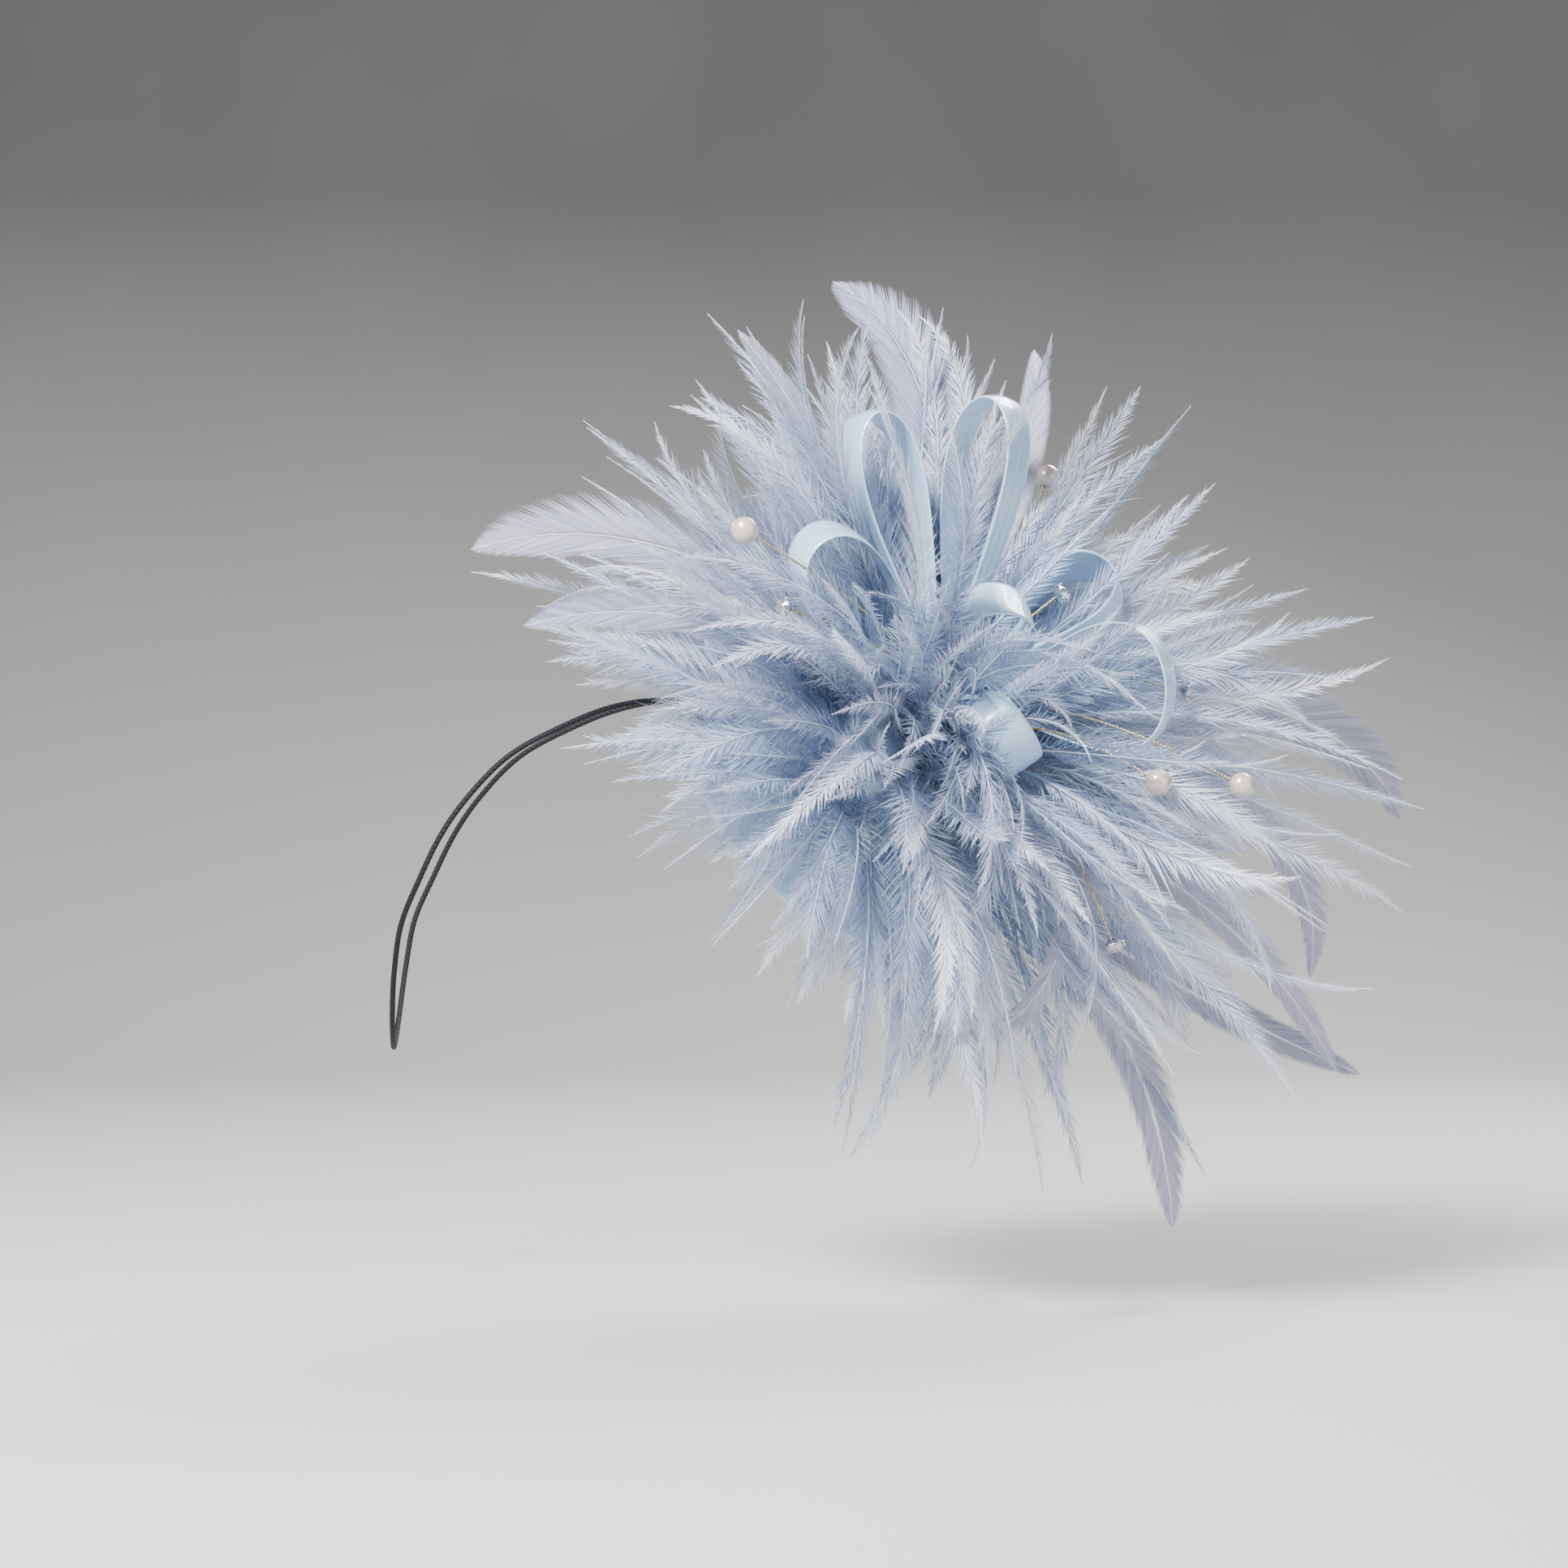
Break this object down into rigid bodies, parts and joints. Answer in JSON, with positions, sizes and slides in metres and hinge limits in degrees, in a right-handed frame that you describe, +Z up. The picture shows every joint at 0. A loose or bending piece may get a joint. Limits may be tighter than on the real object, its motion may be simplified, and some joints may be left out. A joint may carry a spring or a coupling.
{
  "type": "feather fascinator",
  "caption": "Bloom of pale blue feathers, satin ribbon loops, pearls and set crystals on a small domed base, worn with an elastic loop.",
  "frame": {"origin": "the middle of the base's underside, where it sits on the wearer's head", "axes": "+Z up and +X to the wearer's front as worn, -Y to the side that the bloom leans to; the base faces along (0.602, -0.524, 0.602)"},
  "size_m": [0.3207, 0.233, 0.2956],
  "materials": {
    "feather": "dyed pale blue hackle and goose feather",
    "base_cloth": "woven millinery cloth",
    "binding": "thread and tape binding",
    "ribbon": "pale blue satin",
    "pearl": "cream pearl coat",
    "wire": "twisted gold wire",
    "crystal": "clear cut stone in a silver cup setting",
    "elastic": "braided black elastic"
  },
  "bodies": {
    "root": {"base": "base_cloth", "stem_core": "binding", "bunch_crown": "feather", "bunch_crown_side": "feather", "bunch_side": "feather", "bunch_temple": "feather", "bunch_brow": "feather", "bunch_front": "feather", "bunch_far_side": "feather", "bunch_crown_far": "feather", "ribbon_loop_1": "ribbon", "ribbon_loop_2": "ribbon", "ribbon_loop_3": "ribbon", "ribbon_loop_4": "ribbon", "ribbon_loop_5": "ribbon", "ribbon_loop_6": "ribbon", "ribbon_loop_7": "ribbon", "pearl_1": "pearl", "pearl_2": "pearl", "pearl_3": "pearl", "pearl_4": "pearl", "pearl_stem_1": "wire", "pearl_stem_2": "wire", "pearl_stem_3": "wire", "pearl_stem_4": "wire", "crystal_1": "crystal", "crystal_2": "crystal", "crystal_3": "crystal", "crystal_4": "crystal", "crystal_stem_1": "wire", "crystal_stem_2": "wire", "crystal_stem_3": "wire", "crystal_stem_4": "wire", "elastic_knot_1": "elastic", "elastic_knot_2": "elastic", "elastic_loop": "elastic"}
  },
  "joints": []
}
